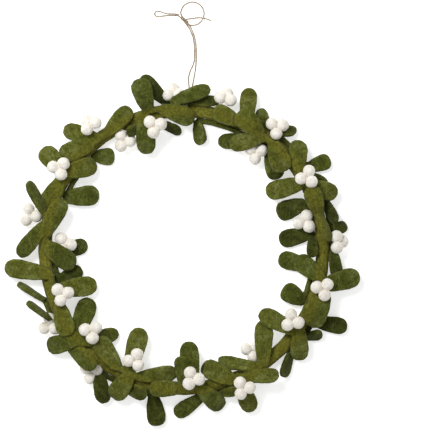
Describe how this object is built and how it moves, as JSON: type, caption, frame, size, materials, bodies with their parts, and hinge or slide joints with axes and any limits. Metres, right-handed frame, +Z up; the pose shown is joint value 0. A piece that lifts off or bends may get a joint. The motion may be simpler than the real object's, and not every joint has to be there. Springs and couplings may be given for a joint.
{
  "type": "felt mistletoe wreath",
  "caption": "Round wreath of olive felt mistletoe leaves and off-white felt berries on a covered hoop, with a twine hanger tied in a loose slip bow.",
  "frame": {"origin": "on the surface the wreath lies on, under the middle of its outline without the twine", "axes": "+Z up out of the front of the wreath, +Y towards the twine hanger, +X to the right"},
  "size_m": [0.3012, 0.3606, 0.0285],
  "materials": {
    "leaf_felt": "thick pressed wool felt, matt and slightly hairy, olive to moss green from leaf to leaf",
    "stem_felt": "wool felt wrapped round the wire, matt olive green",
    "berry_felt": "needle-felted wool balls, matt off-white with a fine fuzz",
    "twine": "two-ply natural twine, matt, with stray fibres",
    "wire": "plain drawn steel wire"
  },
  "bodies": {
    "root": {"hoop_wire": "wire", "felt_sleeve": "stem_felt", "sprig_upper_01": "leaf_felt", "sprig_upper_02": "leaf_felt", "sprig_upper_03": "leaf_felt", "sprig_upper_04": "leaf_felt", "sprig_upper_05": "leaf_felt", "sprig_upper_06": "leaf_felt", "sprig_upper_07": "leaf_felt", "sprig_upper_08": "leaf_felt", "sprig_upper_09": "leaf_felt", "sprig_upper_10": "leaf_felt", "sprig_upper_11": "leaf_felt", "sprig_upper_12": "leaf_felt", "sprig_upper_13": "leaf_felt", "sprig_lower_01": "leaf_felt", "sprig_lower_02": "leaf_felt", "sprig_lower_03": "leaf_felt", "sprig_lower_04": "leaf_felt", "sprig_lower_05": "leaf_felt", "sprig_lower_06": "leaf_felt", "sprig_lower_07": "leaf_felt", "sprig_lower_08": "leaf_felt", "sprig_lower_09": "leaf_felt", "sprig_lower_10": "leaf_felt", "sprig_lower_11": "leaf_felt", "sprig_lower_12": "leaf_felt", "sprig_lower_13": "leaf_felt", "berries_01": "berry_felt", "berries_02": "berry_felt", "berries_03": "berry_felt", "berries_04": "berry_felt", "berries_05": "berry_felt", "berries_06": "berry_felt", "berries_07": "berry_felt", "berries_08": "berry_felt", "berries_09": "berry_felt", "berries_10": "berry_felt", "berries_11": "berry_felt", "berries_12": "berry_felt", "berries_13": "berry_felt", "berries_14": "berry_felt", "berries_15": "berry_felt", "berries_16": "berry_felt", "berries_17": "berry_felt", "berries_18": "berry_felt", "berries_19": "berry_felt", "berries_20": "berry_felt", "berries_21": "berry_felt", "berries_22": "berry_felt", "berries_23": "berry_felt", "twine_wrap": "twine", "twine_strand_left": "twine", "twine_strand_right": "twine", "twine_knot": "twine", "twine_loop": "twine", "twine_bight": "twine", "twine_tail": "twine"}
  },
  "joints": []
}
